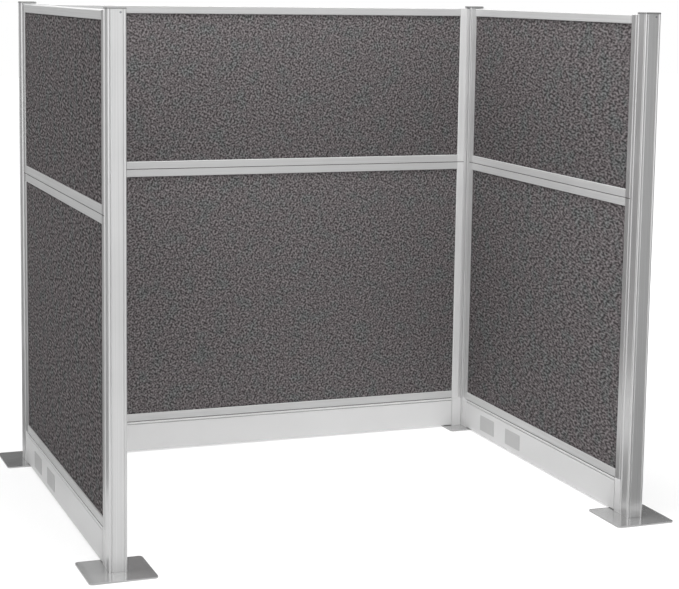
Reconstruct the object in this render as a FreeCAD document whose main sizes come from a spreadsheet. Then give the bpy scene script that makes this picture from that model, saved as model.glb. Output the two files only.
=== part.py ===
import FreeCAD, Part
import math
import os

import Sketcher
from FreeCAD import Rotation, Vector

# Three-sided office cubicle. X runs along the back wall, Y from the open front to
# the back wall and Z up. The origin is on the floor, in the middle of the footprint.
os.makedirs("parts", exist_ok=True)
doc = FreeCAD.newDocument("cubicle_workstation")

# Driving sizes in millimetres. Each one is a named cell of the sheet.
DRIVING_SIZES = {
    # Overall sizes
    "back_frame_length": 1829,
    "side_frame_length": 1356,
    "frame_bottom": 129,
    "lower_frame_height": 1036,
    "upper_frame_height": 653,
    "post_rise": 5,
    # Foot plates and the bolts through them
    "foot_plate_width": 228,
    "foot_plate_thickness": 5,
    "foot_plate_corner_radius": 14,
    "foot_bolt_radius": 4,
    "foot_bolt_head_radius": 8,
    "foot_bolt_grip": 30,
    "foot_bolt_sink": 0.5,
    "bolt_clearance": 0.1,
    # Post extrusion
    "post_width": 60,
    "post_bead_radius": 4,
    "post_tube_width": 40,
    "post_wall": 2,
    "post_neck_width": 4,
    "post_lip_depth": 4,
    "post_slot_width": 16,
    "post_port_width": 13,
    # Snap-on trims of the open post faces
    "trim_width": 40,
    "trim_recess": 1,
    "trim_shoulder_radius": 2.4,
    "trim_leg_thickness": 1.6,
    "trim_leg_length": 4.5,
    "trim_hook": 1.5,
    "snap_clearance": 0.3,
    # Post caps and their screws
    "cap_thickness": 6,
    "cap_overhang": 0.5,
    "cap_corner": 2.5,
    "cap_rim": 2,
    "cap_peg_length": 24,
    "cap_peg_clearance": 0.3,
    "cap_screw_drop": 16,
    "cap_screw_offset": 11,
    "cap_screw_radius": 1.8,
    "cap_screw_head_radius": 3.6,
    "cap_screw_head_height": 2,
    "cap_screw_length": 20,
    # Frame members: rails and stiles share one section
    "frame_thickness": 54,
    "member_width": 31,
    "member_wall": 2,
    "member_channel_depth": 12,
    "member_bead_radius": 3,
    "member_edge_chamfer": 2,
    "member_key_width": 10,
    "member_key_depth": 5,
    "key_clearance": 0.2,
    # Fabric-covered boards
    "tile_thickness": 44,
    "tile_clearance": 0.3,
    # Strips that join the frames to the posts
    "connector_width": 14,
    "connector_thickness": 50,
    "connector_edge_radius": 3,
    "connector_seat_clearance": 0.5,
    "connector_head_width": 30,
    "connector_head_thickness": 3,
    # Raceway under each frame
    "raceway_end_wall": 3,
    "raceway_end_gap": 0.3,
    "spine_sheet": 2,
    "spine_floor_gap": 10,
    "spine_top_width": 46,
    "spine_end_clearance": 0.5,
    "hook_bead_drop": 6.6,
    "hook_bead_radius": 4.5,
    "hook_rod_radius": 2.6,
    "hook_fit": 0.08,
    "hook_hanger_gap": 1.2,
    "hook_web": 1.6,
    # Raceway covers
    "cover_sheet": 1.6,
    "cover_proud": 1,
    "cover_floor_gap": 7,
    "cover_groove": 1.9,
    "cover_return": 8,
    "cover_stop_gap": 0.3,
    "cover_end_gap": 1.5,
    "cover_bend_radius": 2,
    "cover_hem_rise": 4,
    "cover_hem_root": 1.8,
    "cover_hem_corner": 0.8,
    # Blank plates over the outlet openings
    "outlet_first": 212,
    "outlet_spacing": 241,
    "blank_length": 133,
    "blank_height": 64,
    "blank_thickness": 1.2,
    "blank_rim": 4,
    "blank_corner": 2,
    "blank_clip_length": 24,
    "blank_clip_thickness": 1.2,
    "blank_clip_depth": 4,
}

sheet = doc.addObject("Spreadsheet::Sheet", "Sizes")
for row, (word, number) in enumerate(DRIVING_SIZES.items(), start=1):
    sheet.set(f"A{row}", word)
    sheet.set(f"B{row}", str(number))
    sheet.setAlias(f"B{row}", word)
doc.recompute()


class Size:
    """A length with its number and the formula that ties it to the sheet."""

    def __init__(self, formula, number):
        self.formula = formula
        self.number = number

    def joined(self, sign, other, number):
        other_formula = other.formula if isinstance(other, Size) else repr(other)
        return Size(f"({self.formula} {sign} {other_formula})", number)

    def __add__(self, other):
        return self.joined("+", other, self.number + number_of(other))

    def __sub__(self, other):
        return self.joined("-", other, self.number - number_of(other))

    def __mul__(self, factor):
        return self.joined("*", factor, self.number * factor)

    def __truediv__(self, factor):
        return self.joined("/", factor, self.number / factor)

    def __neg__(self):
        return Size(f"(-1 * {self.formula})", -self.number)


def number_of(length):
    return length.number if isinstance(length, Size) else length


def sheet_size(word):
    return Size(f"Sizes.{word}", float(sheet.get(word)))


def bind(item, field, length):
    """Ties one field of an item to a length's formula."""
    if isinstance(length, Size):
        item.setExpression(field, length.formula)


# Lengths that several pieces share
foot_top = sheet_size("foot_plate_thickness")
post_half = sheet_size("post_width") / 2
middle_height = sheet_size("frame_bottom") + sheet_size("lower_frame_height")
frame_top = middle_height + sheet_size("upper_frame_height")
post_top = frame_top + sheet_size("post_rise")
post_length = post_top - foot_top
bead_centre = post_half - sheet_size("post_bead_radius")
tube_half = sheet_size("post_tube_width") / 2
lip_top = post_half - sheet_size("post_lip_depth")
lip_bottom = lip_top - sheet_size("post_wall")
slot_half = sheet_size("post_slot_width") / 2
frame_half = sheet_size("frame_thickness") / 2
member_width = sheet_size("member_width")
key_half = sheet_size("member_key_width") / 2
bolt_radius = sheet_size("foot_bolt_radius")
port_radius = bolt_radius + sheet_size("bolt_clearance")
screw_height = post_top + sheet_size("cap_thickness") - sheet_size("cap_screw_drop")


# Each wall stands between two posts. Its own u axis runs along it, v points outwards
# and z up, so one set of functions makes the pieces of all three.
class Wall:
    def __init__(self, name, turn, length, centre_x, centre_y):
        self.name = name
        self.turn = turn
        self.length = length
        self.centre_x = centre_x
        self.centre_y = centre_y


def post_reach(frame_length):
    """From the middle of a wall to the centre of its post."""
    return frame_length / 2 + sheet_size("connector_width") + post_half


post_x = post_reach(sheet_size("back_frame_length"))
post_y = post_reach(sheet_size("side_frame_length"))
back_wall = Wall("back", 0, sheet_size("back_frame_length"), 0, post_y)
left_wall = Wall("left", 90, sheet_size("side_frame_length"), -post_x, 0)
right_wall = Wall("right", -90, sheet_size("side_frame_length"), post_x, 0)
walls = [back_wall, left_wall, right_wall]


# Sketch and body helpers
def new_body(label):
    body = doc.addObject("PartDesign::Body", label)
    body.Label = label
    return body


def sketch_on(body, name, role):
    plane = next(item for item in body.Origin.OriginFeatures if item.Role == role)
    sketch = body.newObject("Sketcher::SketchObject", name)
    sketch.AttachmentSupport = [(plane, "")]
    sketch.MapMode = "FlatFace"
    return sketch


def hold_point(sketch, edge, end, across, up):
    """Holds one point of a sketch at bound distances from the sketch's origin."""
    for kind, length in (("DistanceX", across), ("DistanceY", up)):
        rule = Sketcher.Constraint(kind, -1, 1, edge, end, number_of(length))
        index = sketch.addConstraint(rule)
        bind(sketch, f"Constraints[{index}]", length)


def add_outline(sketch, points):
    """A closed outline of straight edges through bound points."""
    first = sketch.GeometryCount
    corners = [Vector(number_of(across), number_of(up), 0) for across, up in points]
    for start, end in zip(corners, corners[1:] + corners[:1]):
        sketch.addGeometry(Part.LineSegment(start, end))
    for index, (across, up) in enumerate(points):
        after = first + (index + 1) % len(points)
        sketch.addConstraint(Sketcher.Constraint("Coincident", first + index, 2, after, 1))
        hold_point(sketch, first + index, 1, across, up)


def add_rectangle(sketch, low_across, low_up, high_across, high_up):
    corners = [(low_across, low_up), (high_across, low_up)]
    corners += [(high_across, high_up), (low_across, high_up)]
    add_outline(sketch, corners)


def add_circle(sketch, across, up, radius):
    centre = Vector(number_of(across), number_of(up), 0)
    circle = Part.Circle(centre, Vector(0, 0, 1), number_of(radius))
    edge = sketch.addGeometry(circle)
    hold_point(sketch, edge, 3, across, up)
    rule = sketch.addConstraint(Sketcher.Constraint("Radius", edge, number_of(radius)))
    bind(sketch, f"Constraints[{rule}]", radius)


def pad(body, sketch, length, midplane=False, down=False):
    feature = body.newObject("PartDesign::Pad", sketch.Name + "_pad")
    feature.Profile = sketch
    bind(feature, "Length", length)
    feature.Midplane = midplane
    feature.Reversed = down
    return feature


def pocket_through(body, sketch):
    """Cuts a sketch right through the body, both ways."""
    feature = body.newObject("PartDesign::Pocket", sketch.Name + "_cut")
    feature.Profile = sketch
    feature.Type = "ThroughAll"
    feature.Midplane = True
    return feature


def pocket(body, sketch, length, outwards):
    """Cuts an upright sketch towards +Y if outwards, or else towards -Y."""
    feature = body.newObject("PartDesign::Pocket", sketch.Name + "_cut")
    feature.Profile = sketch
    bind(feature, "Length", length)
    feature.Reversed = not outwards
    return feature


# Two coordinates this close are one place.
TINY = 1e-4


def lies_at(value, length):
    return abs(value - number_of(length)) < TINY


def straight_edges(shape, axis, places):
    """Names of the edges along an axis that pass through one of the places.

    A place gives the other two coordinates, in X, Y, Z order."""
    others = [index for index in range(3) if index != axis]
    names = []
    for number, edge in enumerate(shape.Edges, start=1):
        ends = [edge.firstVertex().Point, edge.lastVertex().Point]
        if any(abs(ends[0][index] - ends[1][index]) > TINY for index in others):
            continue
        for place in places:
            if all(lies_at(ends[0][index], length) for index, length in zip(others, place)):
                names.append(f"Edge{number}")
    return names


def fillet(body, base, axis, places, radius):
    """Rounds the straight edges of a feature that lie at the places."""
    feature = dress(body, base, axis, places, "Fillet")
    bind(feature, "Radius", radius)
    return feature


def chamfer(body, base, axis, places, width):
    """Bevels the straight edges of a feature that lie at the places."""
    feature = dress(body, base, axis, places, "Chamfer")
    bind(feature, "Size", width)
    return feature


def dress(body, base, axis, places, kind):
    doc.recompute()
    names = straight_edges(base.Shape, axis, places)
    if not names:
        raise RuntimeError(f"no edge to dress on {body.Label}")
    feature = body.newObject(f"PartDesign::{kind}", f"{base.Name}_{kind}")
    feature.Base = (base, names)
    return feature


def put(body, across, deep, high, turn=Rotation()):
    """Places a body at bound coordinates."""
    body.Placement.Rotation = turn
    for axis, length in (("x", across), ("y", deep), ("z", high)):
        bind(body, f"Placement.Base.{axis}", length)


def put_on_wall(body, wall, along, out, high, turn=Rotation()):
    """Places a body at a wall's own u, v and z coordinates."""
    angle = math.radians(wall.turn)
    cosine, sine = round(math.cos(angle)), round(math.sin(angle))
    across, deep = wall.centre_x, wall.centre_y
    if cosine:
        across = total(along, cosine, across)
        deep = total(out, cosine, deep)
    else:
        across = total(out, -sine, across)
        deep = total(along, sine, deep)
    put(body, across, deep, high, Rotation(Vector(0, 0, 1), wall.turn) * turn)


def total(length, sign, start):
    """start + sign * length, where any of them may be plain zero."""
    if not isinstance(length, Size):
        return start
    step = length * sign
    return step + start if isinstance(start, Size) else step


def mirrored(points):
    """A closed outline from its right half, given from bottom to top."""
    return points + [(-across, up) for across, up in reversed(points)]


def group(label, pieces):
    compound = doc.addObject("Part::Compound", label)
    compound.Label = label
    compound.Links = pieces
    return compound


nodes = []


# Foot plates: flat steel squares with round corners. A countersunk bolt comes up
# through each one into the screw port of its post.
quarters = [(1, 1), (-1, 1), (-1, -1), (1, -1)]


def foot_plate(label, across, deep):
    body = new_body(label)
    half = sheet_size("foot_plate_width") / 2
    outline = sketch_on(body, label + "_outline", "XY_Plane")
    add_rectangle(outline, -half, -half, half, half)
    plate = pad(body, outline, foot_top)
    corners = [(half * x, half * y) for x, y in quarters]
    fillet(body, plate, 2, corners, sheet_size("foot_plate_corner_radius"))
    place = sketch_on(body, label + "_hole_place", "XY_Plane")
    add_circle(place, 0, 0, port_radius)
    doc.recompute()
    hole = body.newObject("PartDesign::Hole", label + "_bolt_hole")
    hole.Profile = place
    hole.DepthType = "ThroughAll"
    hole.HoleCutType = "Countersink"
    hole.HoleCutCustomValues = True
    hole.Reversed = True
    bind(hole, "Diameter", port_radius * 2)
    head = sheet_size("foot_bolt_head_radius") + sheet_size("foot_bolt_sink")
    bind(hole, "HoleCutDiameter", (head + sheet_size("bolt_clearance")) * 2)
    hole.HoleCutCountersinkAngle = 90
    put(body, across, deep, 0)
    nodes.append(body)
    return body


def foot_bolt(label, across, deep):
    """A countersunk bolt, turned from its half section."""
    body = new_body(label)
    low = sheet_size("foot_bolt_sink")
    head = sheet_size("foot_bolt_head_radius")
    neck = low + head - bolt_radius
    tip = foot_top + sheet_size("foot_bolt_grip")
    section = sketch_on(body, label + "_section", "XZ_Plane")
    half = [(0, low), (head, low), (bolt_radius, neck), (bolt_radius, tip), (0, tip)]
    add_outline(section, half)
    turned = body.newObject("PartDesign::Revolution", label + "_turned")
    turned.Profile = section
    turned.ReferenceAxis = (section, ["V_Axis"])
    turned.Angle = 360
    put(body, across, deep, 0)
    return body


# Posts: one square aluminium extrusion. A round bead runs up each corner, each face
# has a slot between two lips, and webs in the tube inside carry a screw port.
def post(label, across, deep, turn):
    body = new_body(label)
    wall = sheet_size("post_wall")
    tube = sketch_on(body, label + "_tube", "XY_Plane")
    add_rectangle(tube, -tube_half, -tube_half, tube_half, tube_half)
    hollow = tube_half - wall
    add_rectangle(tube, -hollow, -hollow, hollow, hollow)
    pad(body, tube, post_length)

    lips = sketch_on(body, label + "_lips", "XY_Plane")
    corner = [(slot_half, lip_top), (slot_half, lip_bottom), (lip_bottom, lip_bottom)]
    corner += [(lip_bottom, slot_half), (lip_top, slot_half), (lip_top, lip_top)]
    add_outline(lips, corner)
    lips_pad = pad(body, lips, post_length)

    neck = sketch_on(body, label + "_neck", "XY_Plane")
    skew = sheet_size("post_neck_width") / math.sqrt(8)
    inner = tube_half - wall / 2
    add_outline(neck, [(inner + skew, inner - skew), (bead_centre + skew, bead_centre - skew),
                       (bead_centre - skew, bead_centre + skew), (inner - skew, inner + skew)])
    neck_pad = pad(body, neck, post_length)

    bead = sketch_on(body, label + "_bead", "XY_Plane")
    add_circle(bead, bead_centre, bead_centre, sheet_size("post_bead_radius"))
    bead_pad = pad(body, bead, post_length)

    web = sketch_on(body, label + "_web", "XY_Plane")
    port_half = sheet_size("post_port_width") / 2
    add_outline(web, [(0, 0), (port_half, 0), (port_half, port_half), (wall / 2, port_half),
                      (wall / 2, inner), (-wall / 2, inner), (-wall / 2, port_half), (0, port_half)])
    web_pad = pad(body, web, post_length)

    corners = body.newObject("PartDesign::PolarPattern", label + "_corners")
    corners.Originals = [lips_pad, neck_pad, bead_pad, web_pad]
    corners.Axis = (tube, ["N_Axis"])
    corners.Angle = 360
    corners.Occurrences = 4
    body.Tip = corners

    port = sketch_on(body, label + "_port", "XY_Plane")
    add_circle(port, 0, 0, port_radius)
    pocket_through(body, port)
    drill(body, label, screw_height - foot_top)
    put(body, across, deep, foot_top, Rotation(Vector(0, 0, 1), turn))
    nodes.append(body)
    return body


def drill(body, label, height):
    """The cap screw's hole, from its tip out through the -Y face."""
    hole = sketch_on(body, label + "_screw_hole", "XZ_Plane")
    radius = sheet_size("cap_screw_radius") + sheet_size("bolt_clearance")
    add_circle(hole, sheet_size("cap_screw_offset"), height, radius)
    tip = post_half - sheet_size("trim_recess") - sheet_size("cap_screw_length")
    bind(hole, "AttachmentOffset.Base.z", tip)
    pocket(body, hole, post_half, outwards=False)


# Trims: flat strips with round shoulders and two hooked legs, which snap over the
# slot of each post face that carries no frame.
def trim(label, across, deep, turn, with_screw):
    body = new_body(label)
    out = lip_top
    face = post_half - sheet_size("trim_recess")
    half = sheet_size("trim_width") / 2
    leg_out = slot_half - sheet_size("snap_clearance")
    leg_in = leg_out - sheet_size("trim_leg_thickness")
    tip = lip_top - sheet_size("trim_leg_length")
    barb = leg_out + sheet_size("trim_hook")
    catch = lip_bottom - sheet_size("snap_clearance")
    section = sketch_on(body, label + "_section", "XY_Plane")
    right = [(leg_in, -out), (leg_in, -tip), (leg_out, -tip), (barb, -catch)]
    right += [(leg_out, -catch), (leg_out, -out), (half, -out), (half, -face)]
    add_outline(section, mirrored(right))
    strip = pad(body, section, post_length)
    shoulders = [(half, -face), (-half, -face)]
    fillet(body, strip, 2, shoulders, sheet_size("trim_shoulder_radius"))
    if with_screw:
        drill(body, label, screw_height - foot_top)
    put(body, across, deep, foot_top, Rotation(Vector(0, 0, 1), turn))
    return body


# Caps: a bevelled plate over the end of each post, with four pegs that go down into
# the tube between its webs.
def cap(label, across, deep, turn):
    body = new_body(label)
    half = post_half + sheet_size("cap_overhang")
    outline = sketch_on(body, label + "_outline", "XY_Plane")
    add_rectangle(outline, -half, -half, half, half)
    plate = pad(body, outline, sheet_size("cap_thickness"))
    corners = [(half * x, half * y) for x, y in quarters]
    plate = chamfer(body, plate, 2, corners, sheet_size("cap_corner"))
    doc.recompute()
    rim = body.newObject("PartDesign::Chamfer", label + "_rim")
    rim.Base = (plate, top_rim(plate.Shape, sheet_size("cap_thickness")))
    bind(rim, "Size", sheet_size("cap_rim"))
    pegs = sketch_on(body, label + "_pegs", "XY_Plane")
    clearance = sheet_size("cap_peg_clearance")
    near = sheet_size("post_port_width") / 2 + clearance
    far = tube_half - sheet_size("post_wall") - clearance
    for x, y in quarters:
        add_rectangle(pegs, near * x, near * y, far * x, far * y)
    pad(body, pegs, sheet_size("cap_peg_length"), down=True)
    drill(body, label, sheet_size("cap_thickness") - sheet_size("cap_screw_drop"))
    put(body, across, deep, post_top, Rotation(Vector(0, 0, 1), turn))
    nodes.append(body)
    return body


def top_rim(shape, height):
    """Names of the edges that lie at one height."""
    names = []
    for number, edge in enumerate(shape.Edges, start=1):
        box = edge.BoundBox
        if lies_at(box.ZMin, height) and lies_at(box.ZMax, height):
            names.append(f"Edge{number}")
    return names


def cap_screw(label, across, deep, turn):
    """A screw through the trim, the post's lip and tube and one of the cap's pegs."""
    body = new_body(label)
    radius = sheet_size("cap_screw_radius")
    seat = post_half - sheet_size("trim_recess")
    crown = seat + sheet_size("cap_screw_head_height")
    head = sheet_size("cap_screw_head_radius")
    tip = seat - sheet_size("cap_screw_length")
    section = sketch_on(body, label + "_section", "XY_Plane")
    half = [(0, -crown), (head, -crown), (head, -seat), (radius, -seat)]
    half += [(radius, -tip), (0, -tip)]
    add_outline(section, half)
    turned = body.newObject("PartDesign::Revolution", label + "_turned")
    turned.Profile = section
    turned.ReferenceAxis = (section, ["V_Axis"])
    turned.Angle = 360
    put(body, across, deep, screw_height, Rotation(Vector(0, 0, 1), turn))
    return body


# Frame members: one aluminium section for every rail and stile. The outer edge has a
# groove for a key, the inner edge a channel with two lips that holds the board.
def member(label, length):
    body = new_body(label)
    wall = sheet_size("member_wall")
    floor = member_width - sheet_size("member_channel_depth")
    mouth = sheet_size("tile_thickness") / 2 + sheet_size("tile_clearance")
    inner = frame_half - wall
    key_floor = sheet_size("member_key_depth")
    section = sketch_on(body, label + "_section", "YZ_Plane")
    right = [(key_half, key_floor), (key_half, 0), (frame_half, 0), (frame_half, member_width)]
    right += [(mouth, member_width), (mouth, member_width - wall)]
    right += [(inner, member_width - wall), (inner, floor)]
    add_outline(section, mirrored(right))
    hollow = [(key_half + wall, key_floor + wall), (key_half + wall, wall)]
    hollow += [(inner, wall), (inner, floor - wall)]
    add_outline(section, mirrored(hollow))
    bar = pad(body, section, length, midplane=True)
    beads = [(frame_half, member_width), (-frame_half, member_width)]
    bar = fillet(body, bar, 0, beads, sheet_size("member_bead_radius"))
    edges = [(frame_half, 0), (-frame_half, 0)]
    chamfer(body, bar, 0, edges, sheet_size("member_edge_chamfer"))
    return body


flip_over = Rotation(Vector(1, 0, 0), 180)
stand_left = Rotation(Vector(0, 1, 0), 90)
stand_right = Rotation(Vector(0, 1, 0), -90)


def rails_and_stiles(wall):
    span = wall.length - member_width * 2
    rails = (
        ("top_rail", frame_top, flip_over),
        ("upper_mid_rail", middle_height, Rotation()),
        ("lower_mid_rail", middle_height, flip_over),
        ("bottom_rail", sheet_size("frame_bottom"), Rotation()),
    )
    for name, height, turn in rails:
        rail = member(f"{wall.name}_{name}", span)
        put_on_wall(rail, wall, 0, 0, height, turn)
        nodes.append(rail)
    frames = (
        ("upper", sheet_size("upper_frame_height"), middle_height),
        ("lower", sheet_size("lower_frame_height"), sheet_size("frame_bottom")),
    )
    for name, height, low in frames:
        label = f"{wall.name}_{name}_stiles"
        left = member(label + "_at_left", height)
        put_on_wall(left, wall, -wall.length / 2, 0, low + height / 2, stand_left)
        right = member(label + "_at_right", height)
        put_on_wall(right, wall, wall.length / 2, 0, low + height / 2, stand_right)
        nodes.append(group(label, [left, right]))
        nodes.append(tile(f"{wall.name}_{name}_tile", wall, span, low, height))


# Boards: a rigid sound-absorbing core wrapped in woven fabric, held in the channels.
def tile(label, wall, span, low, height):
    body = new_body(label)
    reach = sheet_size("member_channel_depth") - sheet_size("tile_clearance")
    half = span / 2 + reach
    bottom = low + member_width - reach
    top = low + height - member_width + reach
    outline = sketch_on(body, label + "_outline", "XZ_Plane")
    add_rectangle(outline, -half, bottom, half, top)
    pad(body, outline, sheet_size("tile_thickness"), midplane=True)
    put_on_wall(body, wall, 0, 0, 0)
    return body


def mid_spline(wall):
    """The key that keeps the upper frame in line on the lower one."""
    label = f"{wall.name}_mid_spline"
    body = new_body(label)
    half = key_half - sheet_size("key_clearance")
    rise = sheet_size("member_key_depth") - sheet_size("key_clearance")
    section = sketch_on(body, label + "_section", "YZ_Plane")
    add_rectangle(section, -half, -rise, half, rise)
    pad(body, section, wall.length - member_width * 2, midplane=True)
    put_on_wall(body, wall, 0, 0, middle_height)
    nodes.append(body)


frame_bottom = sheet_size("frame_bottom")
rod_height = frame_bottom - sheet_size("hook_bead_drop")
cover_face = frame_half + sheet_size("cover_proud")
rod_out = cover_face - sheet_size("hook_bead_radius")


# Connectors: strips between a frame and its post, as high as the frame. A tongue sits in
# the stiles' groove, and a T head slides down the slot of the post.
def connector(label, wall, end):
    body = new_body(label)
    tongue = key_half - sheet_size("key_clearance")
    depth = sheet_size("member_key_depth") - sheet_size("key_clearance")
    half = sheet_size("connector_thickness") / 2
    width = sheet_size("connector_width")
    seat_half = bead_centre - sheet_size("post_bead_radius") - sheet_size("connector_seat_clearance")
    seat = width + sheet_size("post_lip_depth")
    neck_half = slot_half - sheet_size("snap_clearance")
    head = seat + sheet_size("post_wall") + sheet_size("snap_clearance")
    head_half = sheet_size("connector_head_width") / 2
    head_end = head + sheet_size("connector_head_thickness")
    section = sketch_on(body, label + "_section", "XY_Plane")
    upper = [(0, half), (width, half), (width, seat_half)]
    upper += [(seat, seat_half), (seat, neck_half), (head, neck_half)]
    upper += [(head, head_half), (head_end, head_half)]
    lower = [(across, -up) for across, up in reversed(upper)]
    add_outline(section, upper + lower)
    strip = pad(body, section, frame_top - frame_bottom)
    edges = [(along, side) for along in (0, width) for side in (half, -half)]
    fillet(body, strip, 2, edges, sheet_size("connector_edge_radius"))
    tongues = sketch_on(body, label + "_tongue", "XY_Plane")
    add_rectangle(tongues, -depth, -tongue, 0, tongue)
    pad(body, tongues, frame_top - frame_bottom)
    turn = Rotation() if end > 0 else Rotation(Vector(0, 0, 1), 180)
    put_on_wall(body, wall, wall.length / 2 * end, 0, frame_bottom, turn)
    return body


# Raceway: a hollow bracket under each stile and connector carries them on the foot plate.
# The spine between the brackets parts two cable channels and holds the rods of the covers.
def raceway_end(label, wall, end):
    body = new_body(label)
    height = frame_bottom - foot_top
    gap = sheet_size("raceway_end_wall")
    outline = sketch_on(body, label + "_outline", "YZ_Plane")
    add_rectangle(outline, -cover_face, 0, cover_face, height)
    add_rectangle(outline, gap - cover_face, gap, cover_face - gap, height - gap)
    past_frame = sheet_size("connector_width") - sheet_size("raceway_end_gap")
    half = (member_width + past_frame) / 2
    block = pad(body, outline, half * 2, midplane=True)
    corners = [(half * x, cover_face * y) for x, y in quarters]
    chamfer(body, block, 2, corners, sheet_size("member_edge_chamfer"))
    place = (wall.length + past_frame - member_width) / 2
    put_on_wall(body, wall, place * end, 0, foot_top)
    return body


def raceway_spine(wall):
    label = f"{wall.name}_raceway_spine"
    body = new_body(label)
    sheet_half = sheet_size("spine_sheet") / 2
    sheet_full = sheet_size("spine_sheet")
    low = sheet_size("spine_floor_gap")
    ceiling = frame_bottom - sheet_full
    foot = cover_face - sheet_size("cover_sheet") - sheet_size("cover_stop_gap")
    web = sheet_size("hook_web")
    web_low = rod_height - web / 2
    web_high = rod_height + web / 2
    hang_out = rod_out - sheet_size("hook_bead_radius") - sheet_size("hook_hanger_gap")
    hang_in = hang_out - web
    top_half = sheet_size("spine_top_width") / 2
    right = [(foot, low), (foot, low + sheet_full), (sheet_half, low + sheet_full)]
    right += [(sheet_half, ceiling), (hang_in, ceiling), (hang_in, web_low), (rod_out, web_low)]
    right += [(rod_out, web_high), (hang_out, web_high), (hang_out, ceiling)]
    right += [(top_half, ceiling), (top_half, frame_bottom)]
    section = sketch_on(body, label + "_section", "YZ_Plane")
    add_outline(section, mirrored(right))
    length = wall.length - member_width * 2 - sheet_size("spine_end_clearance") * 2
    pad(body, section, length, midplane=True)
    rods = sketch_on(body, label + "_rods", "YZ_Plane")
    for side in (1, -1):
        add_circle(rods, rod_out * side, rod_height, sheet_size("hook_rod_radius"))
    pad(body, rods, length, midplane=True)
    put_on_wall(body, wall, 0, 0, 0)
    nodes.append(body)


# Covers: bent sheets whose rolled top edge hooks over the spine's rod, so the bottom
# swings out. The roll is pressed flat in front, level with the cover's face, and stays
# open towards the spine, where the rod's web comes in.
roll_opening_degrees = (130, 167, 205)


def cover(label, wall, side, outlets):
    body = new_body(label)
    length = wall.length - member_width * 2 - sheet_size("cover_end_gap") * 2
    sheet_full = sheet_size("cover_sheet")
    bead = sheet_size("hook_bead_radius")
    bore = sheet_size("hook_rod_radius") + sheet_size("hook_fit")
    roll = sketch_on(body, label + "_roll", "YZ_Plane")
    add_circle(roll, rod_out, rod_height, bead)
    add_circle(roll, rod_out, rod_height, bore)
    pad(body, roll, length, midplane=True)
    opening = sketch_on(body, label + "_opening", "YZ_Plane")
    wedge = [(rod_out, rod_height)]
    for degrees in roll_opening_degrees:
        angle = math.radians(degrees)
        wedge.append((rod_out + bead * (2 * math.cos(angle)), rod_height + bead * (2 * math.sin(angle))))
    add_outline(opening, wedge)
    pocket_through(body, opening)

    hem = sketch_on(body, label + "_hem", "YZ_Plane")
    rise = sheet_size("cover_hem_rise")
    root = rod_out + sheet_size("cover_hem_root")
    middle = rod_out + (bead + bore) / 2
    add_outline(hem, [(cover_face, rod_height - rise), (cover_face, rod_height + rise),
                      (root, rod_height + rise), (middle, rod_height), (root, rod_height - rise)])
    front = pad(body, hem, length, midplane=True)
    edges = [(cover_face, rod_height + rise), (cover_face, rod_height - rise)]
    chamfer(body, front, 0, edges, sheet_size("cover_hem_corner"))

    low = sheet_size("cover_floor_gap")
    high = rod_height - bead - sheet_size("cover_groove")
    inner = cover_face - sheet_full
    tip = cover_face - sheet_size("cover_return")
    neck_in = rod_out - sheet_full / 2
    neck_out = rod_out + sheet_full / 2
    neck_top = rod_height - (bead + bore) / 2
    section = sketch_on(body, label + "_section", "YZ_Plane")
    points = [(tip, low), (cover_face, low), (cover_face, high), (neck_out, high)]
    points += [(neck_out, neck_top), (neck_in, neck_top), (neck_in, high - sheet_full)]
    points += [(inner, high - sheet_full), (inner, low + sheet_full), (tip, low + sheet_full)]
    add_outline(section, points)
    shell = pad(body, section, length, midplane=True)
    bend = sheet_size("cover_bend_radius")
    fillet(body, shell, 0, [(cover_face, low), (cover_face, high)], bend)
    if outlets:
        windows = sketch_on(body, label + "_windows", "XZ_Plane")
        rim = sheet_size("blank_rim") - sheet_size("snap_clearance")
        wide = sheet_size("blank_length") / 2 - rim
        tall = sheet_size("blank_height") / 2 - rim
        for centre in outlet_places(length):
            middle = outlet_height()
            add_rectangle(windows, centre - wide, middle - tall, centre + wide, middle + tall)
        pocket(body, windows, cover_face * 2, outwards=True)
    turn = Rotation() if side > 0 else Rotation(Vector(0, 0, 1), 180)
    put_on_wall(body, wall, 0, 0, 0, turn)
    nodes.append(body)
    if outlets:
        blanks = []
        for number, centre in enumerate(outlet_places(length), start=1):
            plate = blank(f"{label}_blank_{number}", centre)
            put_on_wall(plate, wall, 0, 0, 0, turn)
            blanks.append(plate)
        nodes.append(group(label.replace("cover", "outlet_blanks"), blanks))


def outlet_places(length):
    """The outlets lie near the cover's left end, seen from the side that it faces."""
    first = length / 2 - sheet_size("outlet_first")
    return [first, first - sheet_size("outlet_spacing")]


def outlet_height():
    low = sheet_size("cover_floor_gap")
    high = rod_height - sheet_size("hook_bead_radius") - sheet_size("cover_groove")
    return (low + high) / 2


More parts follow.
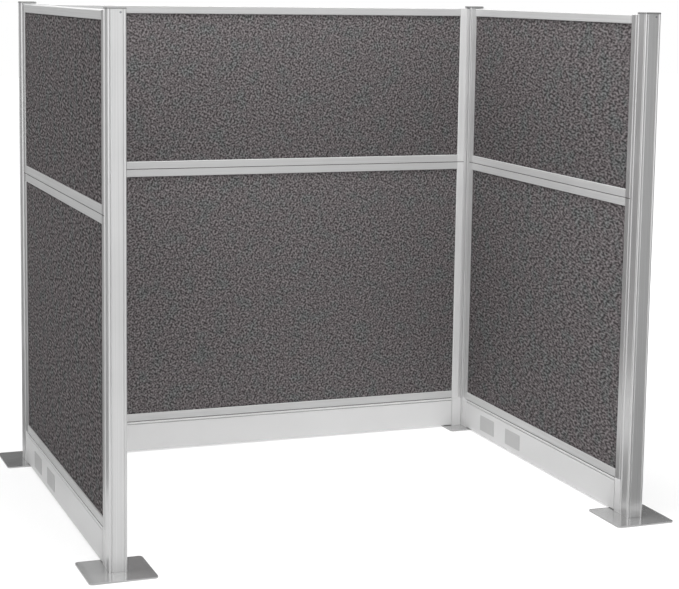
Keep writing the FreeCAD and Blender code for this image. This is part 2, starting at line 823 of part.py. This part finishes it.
def blank(label, centre):
    """A plate over an outlet opening, with a plug and two clips behind it."""
    body = new_body(label)
    wide = sheet_size("blank_length") / 2
    tall = sheet_size("blank_height") / 2
    middle = outlet_height()
    rim = sheet_size("blank_rim")
    outline = sketch_on(body, label + "_outline", "XZ_Plane")
    add_rectangle(outline, centre - wide, middle - tall, centre + wide, middle + tall)
    front = cover_face + sheet_size("blank_thickness")
    slab(body, outline, cover_face, front)
    corners = [(centre + wide * x, middle + tall * y) for x, y in quarters]
    chamfer(body, body.Tip, 1, corners, sheet_size("blank_corner"))
    plug = sketch_on(body, label + "_plug", "XZ_Plane")
    add_rectangle(plug, centre - wide + rim, middle - tall + rim,
                  centre + wide - rim, middle + tall - rim)
    back = cover_face - sheet_size("cover_sheet")
    slab(body, plug, back, cover_face)
    clips = sketch_on(body, label + "_clips", "XZ_Plane")
    clip_half = sheet_size("blank_clip_length") / 2
    clip = sheet_size("blank_clip_thickness")
    for up in (1, -1):
        edge = middle + (tall - rim) * up
        inner = edge - clip * up
        add_rectangle(clips, centre - clip_half, inner, centre + clip_half, edge)
    slab(body, clips, back - sheet_size("blank_clip_depth"), back)
    return body


def slab(body, sketch, low, high):
    """Pads an upright sketch from one depth to another, outwards."""
    bind(sketch, "AttachmentOffset.Base.z", -low)
    return pad(body, sketch, high - low, down=True)


# Assembly: posts, plates, caps and trims
posts = (
    ("front_left", -post_x, -post_y, 0, (0, 90, -90)),
    ("front_right", post_x, -post_y, 0, (0, 90, -90)),
    ("back_left", -post_x, post_y, 180, (0, 90)),
    ("back_right", post_x, post_y, 180, (0, -90)),
)
bolts = []
screws = []
for name, across, deep, turn, trim_turns in posts:
    foot_plate(f"foot_plate_{name}", across, deep)
    post(f"post_{name}", across, deep, turn)
    cap(f"post_cap_{name}", across, deep, turn)
    strips = []
    for number, extra in enumerate(trim_turns, start=1):
        label = f"post_trims_{name}_{number}"
        strips.append(trim(label, across, deep, turn + extra, with_screw=(extra == 0)))
    nodes.append(group(f"post_trims_{name}", strips))
    bolts.append(foot_bolt(f"foot_bolt_{name}", across, deep))
    sign = -1 if turn else 1
    screw_across = across + sheet_size("cap_screw_offset") * sign
    screws.append(cap_screw(f"cap_screw_{name}", screw_across, deep, turn))
nodes.append(group("foot_bolts", bolts))
nodes.append(group("cap_screws", screws))

# Assembly: the three walls
connectors = []
brackets = []
for wall in walls:
    rails_and_stiles(wall)
    mid_spline(wall)
    raceway_spine(wall)
    has_outlets = wall is not back_wall
    cover(f"{wall.name}_outer_cover", wall, 1, has_outlets)
    cover(f"{wall.name}_inner_cover", wall, -1, has_outlets)
    for end in (-1, 1):
        number = len(connectors) + 1
        connectors.append(connector(f"panel_connector_{number}", wall, end))
        brackets.append(raceway_end(f"raceway_end_{number}", wall, end))
nodes.append(group("panel_connectors", connectors))
nodes.append(group("raceway_ends", brackets))

doc.recompute()

# Every feature has to be sound before anything is written.
for item in doc.Objects:
    if "Invalid" in item.State or "Error" in item.State:
        raise RuntimeError(f"{item.Label} failed: {item.State}")
for node in nodes:
    if node.Shape.isNull() or not node.Shape.isValid():
        raise RuntimeError(f"{node.Label} has no sound shape")
for node in nodes:
    node.Shape.exportStep(f"parts/{node.Label}.step")
print(len(nodes), "nodes written")
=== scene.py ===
import math

import bmesh
import bpy
from mathutils import Matrix, Vector


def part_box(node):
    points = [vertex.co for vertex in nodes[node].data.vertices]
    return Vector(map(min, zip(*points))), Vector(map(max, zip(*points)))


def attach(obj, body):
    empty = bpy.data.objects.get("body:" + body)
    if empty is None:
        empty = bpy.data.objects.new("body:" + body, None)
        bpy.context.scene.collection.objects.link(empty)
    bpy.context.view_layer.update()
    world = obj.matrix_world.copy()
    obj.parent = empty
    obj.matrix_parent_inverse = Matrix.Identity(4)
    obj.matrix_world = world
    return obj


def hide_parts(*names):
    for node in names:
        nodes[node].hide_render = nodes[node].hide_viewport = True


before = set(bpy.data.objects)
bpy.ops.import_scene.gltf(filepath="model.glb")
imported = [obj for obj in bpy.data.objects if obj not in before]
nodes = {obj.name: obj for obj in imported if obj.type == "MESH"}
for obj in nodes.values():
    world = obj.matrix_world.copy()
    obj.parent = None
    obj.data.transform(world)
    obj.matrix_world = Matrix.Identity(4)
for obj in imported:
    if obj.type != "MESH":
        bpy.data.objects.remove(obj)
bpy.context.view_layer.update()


# POSTS
# Four square posts, extruded in aluminium alloy and satin anodised in a silver tone. The die
# leaves fine lines up their whole length. Trims snap into the faces that carry no wall.
CORNERS = ("front_left", "front_right", "back_left", "back_right")
MILLIMETRE = 0.001
X, Y, Z = 0, 1, 2


def linear(hex_colour):
    """The linear RGBA values of a colour written in sRGB hex."""
    values = [int(hex_colour[i:i + 2], 16) / 255 for i in (1, 3, 5)]
    return [v / 12.92 if v <= 0.04045 else ((v + 0.055) / 1.055) ** 2.4 for v in values] + [1.0]


def add_node(tree, kind, settings=None, **sockets):
    """Adds one shader node. A socket's value is a number, a colour or another node's output.
    Where inputs share a name, _0 stands for the first input, _1 for the second and so on."""
    node = tree.nodes.new("ShaderNode" + kind)
    for name, value in (settings or {}).items():
        setattr(node, name, value)
    for name, value in sockets.items():
        key = int(name[1:]) if name[1:].isdigit() else name.replace("_", " ")
        if isinstance(value, bpy.types.NodeSocket):
            tree.links.new(value, node.inputs[key])
        else:
            node.inputs[key].default_value = value
    return node


def new_material(name):
    """A material with no nodes yet, and its node tree."""
    material = bpy.data.materials.new(name)
    material.use_nodes = True
    material.node_tree.nodes.clear()
    return material, material.node_tree


def give_finish(material, *node_names):
    """Gives CAD nodes their material."""
    for name in node_names:
        for slot in nodes[name].material_slots:
            slot.material = material


# Anodised aluminium, extruded: a soft silver sheen, drawn out into fine lines by the die.
# Die lines are about 0.3 mm wide; they are drawn 2.5 mm wide, because finer ones don't show.
DIE_LINE = 2.5 * MILLIMETRE
DIE_LINE_RUN = 900 * MILLIMETRE
DIE_LINE_DEPTH = 0.15 * MILLIMETRE
# Faint cloudy smudges lie over the lines.
SMUDGE = 180 * MILLIMETRE
SMUDGE_SHARE = 0.35
# The sum of both patterns where the tone is darkest, and where it is lightest.
DARKEST, LIGHTEST = 0.45, 0.92
# Narrow gaps are painted darker: painted shade, where little light reaches into them.
GAP_SHADE_COLOUR = "#6a6968"
GAP_SHADE_WIDTH = 3 * MILLIMETRE


def anodised_aluminium(name, run, light="#eeeeee", dark="#dedede", roughness=0.36, metallic=0.8,
                       joint=None):
    """run is the axis that the profile was pushed along. joint is the height of a butt joint
    between two frames, along which a thin line of painted shade is drawn."""
    duller, glossier = 0.05, 0.04
    material, tree = new_material(name)
    place = add_node(tree, "TexCoord")
    fineness = [1 / DIE_LINE] * 3
    fineness[run] = 1 / DIE_LINE_RUN
    along = add_node(tree, "Mapping", Vector=place.outputs["Object"], Scale=fineness)
    lines = add_node(tree, "TexNoise", Vector=along.outputs[0], Scale=1.0, Detail=2.0,
                     Roughness=0.6)
    smudges = add_node(tree, "TexNoise", Vector=place.outputs["Object"], Scale=1 / SMUDGE,
                       Detail=1.0)
    tone = add_node(tree, "Math", {"operation": "MULTIPLY_ADD"}, _0=smudges.outputs[0],
                    _1=SMUDGE_SHARE, _2=lines.outputs[0])
    spread = add_node(tree, "MapRange", Value=tone.outputs[0], From_Min=DARKEST,
                      From_Max=LIGHTEST)
    colour = add_node(tree, "Mix", {"data_type": "RGBA"}, _0=spread.outputs[0],
                      _6=linear(dark), _7=linear(light))
    # The butt joint gets a thin band of painted shade.
    if joint is not None:
        height = add_node(tree, "SeparateXYZ", Vector=place.outputs["Object"])
        seam_shade = add_node(tree, "Math", {"operation": "COMPARE"}, _0=height.outputs["Z"], _1=joint,
                        _2=GAP_SHADE_WIDTH / 2)
        colour = add_node(tree, "Mix", {"data_type": "RGBA"}, _0=seam_shade.outputs[0],
                          _6=colour.outputs[2], _7=linear(GAP_SHADE_COLOUR))
    gloss = add_node(tree, "MapRange", Value=spread.outputs[0], To_Min=roughness + duller,
                     To_Max=roughness - glossier)
    relief = add_node(tree, "Bump", Height=lines.outputs[0], Strength=0.25,
                      Distance=DIE_LINE_DEPTH)
    # The die lines spread a reflection more one way than the other.
    pushed = [0.0, 0.0, 0.0]
    pushed[run] = 1.0
    grain = add_node(tree, "CombineXYZ", X=pushed[X], Y=pushed[Y], Z=pushed[Z])
    shader = add_node(tree, "BsdfPrincipled", Base_Color=colour.outputs[2],
                      Roughness=gloss.outputs[0], Metallic=metallic, Normal=relief.outputs[0],
                      Anisotropic=0.7, Anisotropic_Rotation=0.25, Tangent=grain.outputs[0])
    add_node(tree, "OutputMaterial", Surface=shader.outputs[0])
    return material


upright_aluminium = anodised_aluminium("anodised_aluminium_extruded_upright", Z)
for corner in CORNERS:
    give_finish(upright_aluminium, f"post_{corner}", f"post_trims_{corner}")


# POST CAPS
# Square bevelled plates pressed onto the posts, each held by one screw that shows below it.
# They are aluminium too, bead-blasted before anodising, so they are greyer than the posts.
cap_aluminium = anodised_aluminium("anodised_aluminium_blasted", X, light="#b2b2b2",
                                   dark="#a8a8a8", roughness=0.5)
give_finish(cap_aluminium, *[f"post_cap_{corner}" for corner in CORNERS])


# FOOT PLATES AND FIXINGS
# Square plates cut from steel, their corners rounded, brushed and clear-lacquered, so the posts
# mirror in them. The screws and bolts are plain zinc-plated steel.
# Brush strokes are about 0.2 mm wide and are drawn 2 mm wide, so that they show.
BRUSH_LINE = 2 * MILLIMETRE
BRUSH_RUN = 70 * MILLIMETRE
BRUSH_DEPTH = 0.1 * MILLIMETRE


def brushed_steel(name, light, dark, roughness):
    """Steel with strokes along X: a grey sheen, less even than the aluminium's."""
    gloss_change = 0.06
    material, tree = new_material(name)
    place = add_node(tree, "TexCoord")
    along = add_node(tree, "Mapping", Vector=place.outputs["Object"],
                     Scale=(1 / BRUSH_RUN, 1 / BRUSH_LINE, 1 / BRUSH_LINE))
    strokes = add_node(tree, "TexNoise", Vector=along.outputs[0], Scale=1.0, Detail=3.0)
    colour = add_node(tree, "Mix", {"data_type": "RGBA"}, _0=strokes.outputs[0],
                      _6=linear(dark), _7=linear(light))
    gloss = add_node(tree, "MapRange", Value=strokes.outputs[0], To_Min=roughness + gloss_change,
                     To_Max=roughness - gloss_change)
    relief = add_node(tree, "Bump", Height=strokes.outputs[0], Strength=0.2,
                      Distance=BRUSH_DEPTH)
    shader = add_node(tree, "BsdfPrincipled", Base_Color=colour.outputs[2],
                      Roughness=gloss.outputs[0], Metallic=0.7, Normal=relief.outputs[0])
    add_node(tree, "OutputMaterial", Surface=shader.outputs[0])
    return material


plate_steel = brushed_steel("mild_steel_brushed_and_lacquered", "#cacaca", "#b8b8b8", 0.16)
give_finish(plate_steel, *[f"foot_plate_{corner}" for corner in CORNERS])
# Zinc plating is duller than the plates and faintly blue.
zinc_steel = brushed_steel("steel_zinc_plated", "#b4b6b9", "#9fa1a4", 0.34)
give_finish(zinc_steel, "foot_bolts", "cap_screws")


# CONNECTORS
# Narrow full-height extrusions between each wall and its posts. They hook into the slot of the
# post and are of the posts' own anodised aluminium.
give_finish(upright_aluminium, "panel_connectors")


# WALL FRAMES
# Each wall is two frames of one hollow section, with a bead along the side that holds the
# board. Rails run along the wall and stiles stand at its ends, all silver anodised.
WALLS = {"back": X, "left": Y, "right": Y}
RAILS = ("top_rail", "upper_mid_rail", "lower_mid_rail", "bottom_rail")
FRAME_JOINT = 1165 * MILLIMETRE
# The rails are greyer and more matt than the posts. The back wall's frames and the side walls'
# are one aluminium in per-wall copies, whose tones and mirroring are set apart as painted light
# and shade to suit how each wall is lit; the back wall's frames mirror least.
rail_aluminium = {
    X: anodised_aluminium("anodised_aluminium_extruded_along_back", X, "#c6c6c6", "#bababa",
                          roughness=0.45, metallic=0.15, joint=FRAME_JOINT),
    Y: anodised_aluminium("anodised_aluminium_extruded_along_sides", Y, "#d2d2d2", "#c6c6c6",
                          roughness=0.45, metallic=0.3, joint=FRAME_JOINT),
}
stile_aluminium = {
    X: anodised_aluminium("anodised_aluminium_extruded_stile_back", Z, "#dddddd", "#d0d0d0",
                          metallic=0.15, joint=FRAME_JOINT),
    Y: anodised_aluminium("anodised_aluminium_extruded_stile_sides", Z, "#dadada", "#cbcbcb",
                          metallic=0.75, joint=FRAME_JOINT),
}
for wall, run in WALLS.items():
    give_finish(rail_aluminium[run], *[f"{wall}_{rail}" for rail in RAILS])
    give_finish(stile_aluminium[run], f"{wall}_upper_stiles", f"{wall}_lower_stiles")

# The key between two stacked frames is black nylon, moulded: dark and matt, out of sight. Its
# fine grain is drawn 2 mm coarse.
NYLON_GRAIN = 2 * MILLIMETRE
NYLON_GRAIN_DEPTH = 0.1 * MILLIMETRE
key_nylon, tree = new_material("nylon_moulded_black")
place = add_node(tree, "TexCoord")
grain = add_node(tree, "TexNoise", Vector=place.outputs["Object"], Scale=1 / NYLON_GRAIN)
relief = add_node(tree, "Bump", Height=grain.outputs[0], Strength=0.2,
                  Distance=NYLON_GRAIN_DEPTH)
shader = add_node(tree, "BsdfPrincipled", Base_Color=linear("#2b2b2c"), Roughness=0.6,
                  Normal=relief.outputs[0])
add_node(tree, "OutputMaterial", Surface=shader.outputs[0])
give_finish(key_nylon, *[f"{wall}_mid_spline" for wall in WALLS])


# FABRIC BOARDS
# Six rigid mineral-fibre boards wrapped in a charcoal crepe cloth, pulled tight and turned in
# where the board enters the frame's channel, so a shadow line runs round each one.

# The crepe's pebbles are about 2 mm apart and its threads finer still. The photographed cloth
# shows the pebbles 7.5 mm apart, so they are drawn at that size, and the threads 3 mm apart.
PEBBLE = 7.5 * MILLIMETRE
PEBBLE_DEPTH = 1.2 * MILLIMETRE
THREAD = 3 * MILLIMETRE
THREAD_SHARE = 0.2
# The height of the weave between the pebbles and on their tops. The cloth lightens from one to
# the other, faster towards the tops.
HOLLOW, CREST = 0.3, 0.95
CREST_POWER = 1.2
# The weave lies a little off the upright.
WEAVE_TURN = math.radians(25)
# Heather cloth is dyed unevenly, in patches a hand's breadth wide.
DYE_PATCH = 70 * MILLIMETRE
ALL_WARM, ALL_COOL = 0.48, 0.68


def woven_crepe(name, run, run_stretch, warm_tones, cool_tones):
    """Woven polyester, pebble-crepe weave, charcoal heather: matt, with a curly speckle. run is
    the wall's axis, and the speckle is run_stretch times longer along it. Tones are the colour
    between the pebbles and the colour on their tops."""
    material, tree = new_material(name)
    place = add_node(tree, "TexCoord")
    # The pattern is turned into the plane of the board.
    cloth = add_node(tree, "Mapping", Vector=place.outputs["Object"],
                     Rotation=(-math.pi / 2, run * math.pi / 2, WEAVE_TURN),
                     Scale=(1, 1 / run_stretch, 1))
    pebbles = add_node(tree, "TexNoise", {"noise_dimensions": "2D"}, Vector=cloth.outputs[0],
                       Scale=1 / PEBBLE, Detail=0.0, Distortion=0.2)
    threads = add_node(tree, "TexNoise", {"noise_dimensions": "2D"}, Vector=cloth.outputs[0],
                       Scale=1 / THREAD, Detail=0.0)
    weave = add_node(tree, "Math", {"operation": "MULTIPLY_ADD"}, _0=threads.outputs[0],
                     _1=THREAD_SHARE, _2=pebbles.outputs[0])
    height = add_node(tree, "MapRange", Value=weave.outputs[0], From_Min=HOLLOW, From_Max=CREST)
    shade = add_node(tree, "Math", {"operation": "POWER"}, _0=height.outputs[0],
                     _1=CREST_POWER)
    patches = add_node(tree, "TexNoise", Vector=place.outputs["Object"], Scale=1 / DYE_PATCH,
                       Detail=2.0)
    dye = add_node(tree, "MapRange", Value=patches.outputs[0], From_Min=ALL_WARM,
                   From_Max=ALL_COOL)
    warm = add_node(tree, "Mix", {"data_type": "RGBA"}, _0=shade.outputs[0],
                    _6=linear(warm_tones[0]), _7=linear(warm_tones[1]))
    cool = add_node(tree, "Mix", {"data_type": "RGBA"}, _0=shade.outputs[0],
                    _6=linear(cool_tones[0]), _7=linear(cool_tones[1]))
    colour = add_node(tree, "Mix", {"data_type": "RGBA"}, _0=dye.outputs[0],
                      _6=warm.outputs[2], _7=cool.outputs[2])
    relief = add_node(tree, "Bump", Height=weave.outputs[0], Strength=0.4,
                      Distance=PEBBLE_DEPTH)
    shader = add_node(tree, "BsdfPrincipled", Base_Color=colour.outputs[2], Roughness=0.95,
                      Specular_IOR_Level=0.1, Normal=relief.outputs[0])
    add_node(tree, "OutputMaterial", Surface=shader.outputs[0])
    return material


# The side walls' cloth has longer pebbles. Its tones are drawn darker than the back wall's as
# painted shade, the left wall's most.
crepe = {
    "back": woven_crepe("polyester_crepe_woven_charcoal", X, 1.0,
                        ("#393536", "#837e7f"), ("#353636", "#7e7f7f")),
    "left": woven_crepe("polyester_crepe_woven_charcoal_shaded", Y, 2.8,
                        ("#2d292a", "#787374"), ("#292a2a", "#737474")),
    "right": woven_crepe("polyester_crepe_woven_charcoal_slubbed", Y, 2.2,
                         ("#363233", "#7f7a7b"), ("#323333", "#7a7b7b")),
}
RAIL_BELOW = {"upper": "upper_mid_rail", "lower": "bottom_rail"}
# The cloth rolls up out of the channel in steps, each so many millimetres wide and high. The
# first one starts a millimetre inside the channel.
EDGE_STEPS = ((1.5, 2.0), (1.5, 1.2), (2.0, 0.8), (3.0, 0.5))
TURN_IN = sum(rise for width, rise in EDGE_STEPS) * MILLIMETRE
INSIDE_CHANNEL = 1.0 * MILLIMETRE
for wall, run in WALLS.items():
    across = Y if run == X else X
    for level, rail_below in RAIL_BELOW.items():
        low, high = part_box(f"{wall}_{level}_tile")
        # A rail starts at the inner edge of the stile, whose channel hides the board's margin.
        rail_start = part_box(f"{wall}_{rail_below}")[0][run]
        hidden = rail_start - low[run]
        centre = [(a + b) / 2 for a, b in zip(low, high)]
        size = [b - a for a, b in zip(low, high)]
        size[across] -= 2 * TURN_IN
        board = bmesh.new()
        bmesh.ops.create_cube(board, size=1.0, matrix=Matrix.Translation(centre)
                              @ Matrix.Diagonal(size + [1.0]))
        board.normal_update()
        for side in (-1, 1):
            face = [f for f in board.faces if round(f.normal[across]) == side]
            bmesh.ops.inset_region(board, faces=face, thickness=hidden - INSIDE_CHANNEL)
            for width, rise in EDGE_STEPS:
                bmesh.ops.inset_region(board, faces=face, thickness=width * MILLIMETRE,
                                       depth=rise * MILLIMETRE)
        for face in board.faces:
            face.smooth = True
        mesh = bpy.data.meshes.new(f"{wall}_{level}_board")
        board.to_mesh(mesh)
        board.free()
        mesh.materials.append(crepe[wall])
        piece = bpy.data.objects.new(f"{wall}_{level}_board", mesh)
        bpy.context.scene.collection.objects.link(piece)
        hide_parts(f"{wall}_{level}_tile")
        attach(piece, "cubicle_frame")


# RACEWAYS
# The base of each wall is a cable raceway: end brackets and a spine of folded sheet steel, and
# covers that hook over the spine, all powder-coated in light grey.
ORANGE_PEEL = 3 * MILLIMETRE
ORANGE_PEEL_DEPTH = 0.2 * MILLIMETRE
COAT_DRIFT = 220 * MILLIMETRE


def powder_coat(name, grooves=()):
    """Powder coat on steel: half matt, with a faint orange peel and hardly any drift of tone.
    grooves are the middle height and the width of narrow gaps, which are painted darker as
    painted shade."""
    roughness, gloss_change = 0.42, 0.05
    material, tree = new_material(name)
    place = add_node(tree, "TexCoord")
    ripple = add_node(tree, "TexNoise", Vector=place.outputs["Object"], Scale=1 / ORANGE_PEEL,
                      Detail=1.0)
    clouds = add_node(tree, "TexNoise", Vector=place.outputs["Object"], Scale=1 / COAT_DRIFT,
                      Detail=2.0)
    colour = add_node(tree, "Mix", {"data_type": "RGBA"}, _0=clouds.outputs[0],
                      _6=linear("#cbcbcb"), _7=linear("#d3d3d3"))
    height = add_node(tree, "SeparateXYZ", Vector=place.outputs["Object"])
    # Each groove is a band of painted shade.
    for middle, width in grooves:
        groove_shade = add_node(tree, "Math", {"operation": "COMPARE"}, _0=height.outputs["Z"],
                        _1=middle, _2=width / 2)
        colour = add_node(tree, "Mix", {"data_type": "RGBA"}, _0=groove_shade.outputs[0],
                          _6=colour.outputs[2], _7=linear(GAP_SHADE_COLOUR))
    gloss = add_node(tree, "MapRange", Value=ripple.outputs[0], To_Min=roughness + gloss_change,
                     To_Max=roughness - gloss_change)
    relief = add_node(tree, "Bump", Height=ripple.outputs[0], Strength=0.15,
                      Distance=ORANGE_PEEL_DEPTH)
    shader = add_node(tree, "BsdfPrincipled", Base_Color=colour.outputs[2],
                      Roughness=gloss.outputs[0], Normal=relief.outputs[0])
    add_node(tree, "OutputMaterial", Surface=shader.outputs[0])
    return material


bracket_coat = powder_coat("sheet_steel_powder_coated_light_grey")
give_finish(bracket_coat, "raceway_ends")
# The gap above the covers' rolled edge, and the groove under it, are drawn as painted shade.
ROLL_GAP = (127.7 * MILLIMETRE, 2.6 * MILLIMETRE)
ROLL_GROOVE = (117.4 * MILLIMETRE, 2.1 * MILLIMETRE)
cover_coat = powder_coat("sheet_steel_powder_coated_light_grey_rolled", (ROLL_GAP, ROLL_GROOVE))
for wall in WALLS:
    give_finish(cover_coat, f"{wall}_raceway_spine", f"{wall}_outer_cover", f"{wall}_inner_cover")


# OUTLET BLANKS
# Flat moulded plates of ABS that clip into the outlet openings of the side walls' covers. They
# are a shade darker than the coat round them and quite matt.
# The mould's fine spark texture is drawn 1.5 mm coarse, because the real one is too fine to show.
SPARK_TEXTURE = 1.5 * MILLIMETRE
SPARK_DEPTH = 0.1 * MILLIMETRE
ABS_DRIFT = 40 * MILLIMETRE
blank_abs, tree = new_material("ABS_moulded_mid_grey")
place = add_node(tree, "TexCoord")
texture = add_node(tree, "TexNoise", Vector=place.outputs["Object"], Scale=1 / SPARK_TEXTURE)
clouds = add_node(tree, "TexNoise", Vector=place.outputs["Object"], Scale=1 / ABS_DRIFT)
colour = add_node(tree, "Mix", {"data_type": "RGBA"}, _0=clouds.outputs[0],
                  _6=linear("#afafaf"), _7=linear("#b4b4b4"))
relief = add_node(tree, "Bump", Height=texture.outputs[0], Strength=0.3, Distance=SPARK_DEPTH)
shader = add_node(tree, "BsdfPrincipled", Base_Color=colour.outputs[2], Roughness=0.55, IOR=1.54,
                  Normal=relief.outputs[0])
add_node(tree, "OutputMaterial", Surface=shader.outputs[0])
for wall in ("left", "right"):
    give_finish(blank_abs, f"{wall}_outer_outlet_blanks", f"{wall}_inner_outlet_blanks")


# FLOOR AND SURROUND
# A plain white floor that keeps the object's shadow and runs out into a white surround. Matt
# surfaces get less than half of the surround's white as light.
FLOOR_HALF = 30
floor_mesh = bmesh.new()
bmesh.ops.create_grid(floor_mesh, x_segments=1, y_segments=1, size=FLOOR_HALF)
mesh = bpy.data.meshes.new("studio_floor")
floor_mesh.to_mesh(mesh)
floor_mesh.free()
floor = bpy.data.objects.new("studio_floor", mesh)
bpy.context.scene.collection.objects.link(floor)

# Painted board. The camera sees it brighter than it is lit, more so far out, so that it meets
# the white surround, while a darker part of it still takes the shadow. Metal mirrors it evenly.
WHITE = (1, 1, 1, 1)
FLOOR_PAINT = (0.9, 0.9, 0.9, 1)
SHADOW_PAINT = (0.4, 0.4, 0.4, 1)
FLOOR_MIRRORED = 0.75
NEAR, FAR = 2.0, 7.0
NEAR_GLOW, FAR_GLOW = 0.62, 0.92
floor_white, tree = new_material("studio_floor_painted_white")
plain = add_node(tree, "BsdfDiffuse", Color=FLOOR_PAINT)
mirrored = add_node(tree, "Emission", Color=WHITE, Strength=FLOOR_MIRRORED)
shadowed = add_node(tree, "BsdfDiffuse", Color=SHADOW_PAINT)
place = add_node(tree, "TexCoord")
reach = add_node(tree, "VectorMath", {"operation": "LENGTH"}, _0=place.outputs["Object"])
lift = add_node(tree, "MapRange", Value=reach.outputs["Value"], From_Min=NEAR, From_Max=FAR,
                To_Min=NEAR_GLOW, To_Max=FAR_GLOW)
glow = add_node(tree, "Emission", Color=WHITE, Strength=lift.outputs[0])
both = add_node(tree, "AddShader", _0=shadowed.outputs[0], _1=glow.outputs[0])
path = add_node(tree, "LightPath")
unseen = add_node(tree, "MixShader", _0=path.outputs["Is Glossy Ray"], _1=plain.outputs[0],
                  _2=mirrored.outputs[0])
seen = add_node(tree, "Math", {"operation": "MAXIMUM"}, _0=path.outputs["Is Camera Ray"],
                _1=path.outputs["Is Transmission Ray"])
choice = add_node(tree, "MixShader", _0=seen.outputs[0], _1=unseen.outputs[0], _2=both.outputs[0])
add_node(tree, "OutputMaterial", Surface=choice.outputs[0])
mesh.materials.append(floor_white)

# The surround is full white to the camera, in reflections and through glass.
SURROUND_LIGHT = 0.4
world = bpy.data.worlds.new("studio_surround")
bpy.context.scene.world = world
world.use_nodes = True
tree = world.node_tree
tree.nodes.clear()
white = add_node(tree, "Background", Color=WHITE, Strength=1.0)
soft = add_node(tree, "Background", Color=WHITE, Strength=SURROUND_LIGHT)
path = add_node(tree, "LightPath")
mirrored = add_node(tree, "Math", {"operation": "MAXIMUM"}, _0=path.outputs["Is Camera Ray"],
                    _1=path.outputs["Is Glossy Ray"])
seen = add_node(tree, "Math", {"operation": "MAXIMUM"}, _0=mirrored.outputs[0],
                _1=path.outputs["Is Transmission Ray"])
choice = add_node(tree, "MixShader", _0=seen.outputs[0], _1=soft.outputs[0], _2=white.outputs[0])
add_node(tree, "OutputWorld", Surface=choice.outputs[0])


# LAMPS
# Four square softboxes: high at the left, lower in front, overhead, and behind at the right.
# Reflections don't show them, so that bright metal has no hot spots.
def softbox(name, place, target, width, watts):
    """A square lamp of that width, at a place and facing a target."""
    lamp = bpy.data.lights.new(name, "AREA")
    lamp.shape = "SQUARE"
    lamp.size = width
    lamp.energy = watts
    stand = bpy.data.objects.new(name, lamp)
    stand.location = place
    direction = Vector(target) - Vector(place)
    stand.rotation_euler = direction.to_track_quat("-Z", "Y").to_euler()
    stand.visible_glossy = False
    bpy.context.scene.collection.objects.link(stand)


softbox("left_softbox", place=(-3.4, 0.3, 5.2), target=(0.0, 0.0, 0.6), width=2.2, watts=155)
softbox("front_softbox", place=(-0.4, -5.6, 2.4), target=(0.0, 0.5, 0.8), width=2.4, watts=112)
softbox("top_softbox", place=(0.1, -0.3, 5.4), target=(0.1, 0.0, 0.0), width=2.2, watts=225)
softbox("back_softbox", place=(4.2, 4.4, 3.6), target=(0.0, 0.0, 0.8), width=2.4, watts=160)


# REFLECTION CARDS
# Dark flags and one bright reflector, which a photographer stands beside bright metal to give
# it light and dark stripes. Only reflections see them.
DARK, BRIGHT = 0.1, 1.4
FLOOR_CARD_HEIGHT = 0.01


def card(name, strength, *corners):
    """A card between its corners, as bright as its strength."""
    paper, tree = new_material(name + "_paper")
    glow = add_node(tree, "Emission", Color=WHITE, Strength=strength)
    add_node(tree, "OutputMaterial", Surface=glow.outputs[0])
    sheet = bmesh.new()
    sheet.faces.new([sheet.verts.new(corner) for corner in corners])
    mesh = bpy.data.meshes.new(name)
    sheet.to_mesh(mesh)
    sheet.free()
    mesh.materials.append(paper)
    stand = bpy.data.objects.new(name, mesh)
    bpy.context.scene.collection.objects.link(stand)
    stand.visible_camera = False
    stand.visible_diffuse = False
    stand.visible_shadow = False


def upright_card(name, strength, start, end, low, high):
    """A card that stands between two places on the floor."""
    card(name, strength, (*start, low), (*end, low), (*end, high), (*start, high))


def floor_card(name, strength, start, end):
    """A card that lies on the floor between two opposite corners."""
    corners = (start, (end[X], start[Y]), end, (start[X], end[Y]))
    card(name, strength, *[(x, y, FLOOR_CARD_HEIGHT) for x, y in corners])


upright_card("flag_front_right", DARK, start=(1.95, -5.8), end=(6.05, -1.4), low=0.0, high=3.3)
upright_card("flag_right", DARK, start=(6.05, -1.4), end=(5.3, 3.8), low=0.0, high=2.6)
upright_card("flag_back_right", DARK, start=(5.3, 3.8), end=(2.7, 5.3), low=0.3, high=2.9)
upright_card("flag_back_left", DARK, start=(0.1, 4.1), end=(-4.1, 2.3), low=0.0, high=2.6)
upright_card("reflector_front_left", BRIGHT, start=(-3.0, -6.0), end=(-6.5, -2.5), low=0.3,
             high=3.0)
card("flag_high", DARK, (-2.0, -4.2, 3.0), (4.0, -4.2, 3.0), (4.0, -5.2, 5.2), (-2.0, -5.2, 5.2))
floor_card("flag_floor_right", DARK, start=(0.75, -5.0), end=(6.1, -0.86))
floor_card("flag_floor_inside", DARK, start=(0.25, -0.6), end=(0.92, 0.2))
floor_card("flag_floor_left", DARK, start=(-4.1, 0.1), end=(-1.09, 3.0))


# CAMERA
# It stands in front, to the left, a little higher than the walls. Its place, turn and lens were
# found by fitting the object's edges to those in the photograph.
CAMERA_PLACE = (-2.2646, -6.1374, 1.8960)
YAW, PITCH, ROLL = (math.radians(degrees) for degrees in (20.9065, -7.6222, 0.8338))
camera = bpy.data.cameras.new("camera")
camera.sensor_width = 36
camera.lens = 92.975
camera.shift_y = -0.105
forward = Vector((math.sin(YAW) * math.cos(PITCH), math.cos(YAW) * math.cos(PITCH),
                  math.sin(PITCH)))
level_right = Vector((math.cos(YAW), -math.sin(YAW), 0))
level_up = level_right.cross(forward)
right = level_right * math.cos(ROLL) + level_up * math.sin(ROLL)
up = level_up * math.cos(ROLL) - level_right * math.sin(ROLL)
viewpoint = bpy.data.objects.new("camera", camera)
viewpoint.matrix_world = (Matrix.Translation(CAMERA_PLACE)
                          @ Matrix((right, up, -forward)).transposed().to_4x4())
bpy.context.scene.collection.objects.link(viewpoint)
bpy.context.scene.camera = viewpoint
bpy.context.scene.view_settings.view_transform = "Standard"
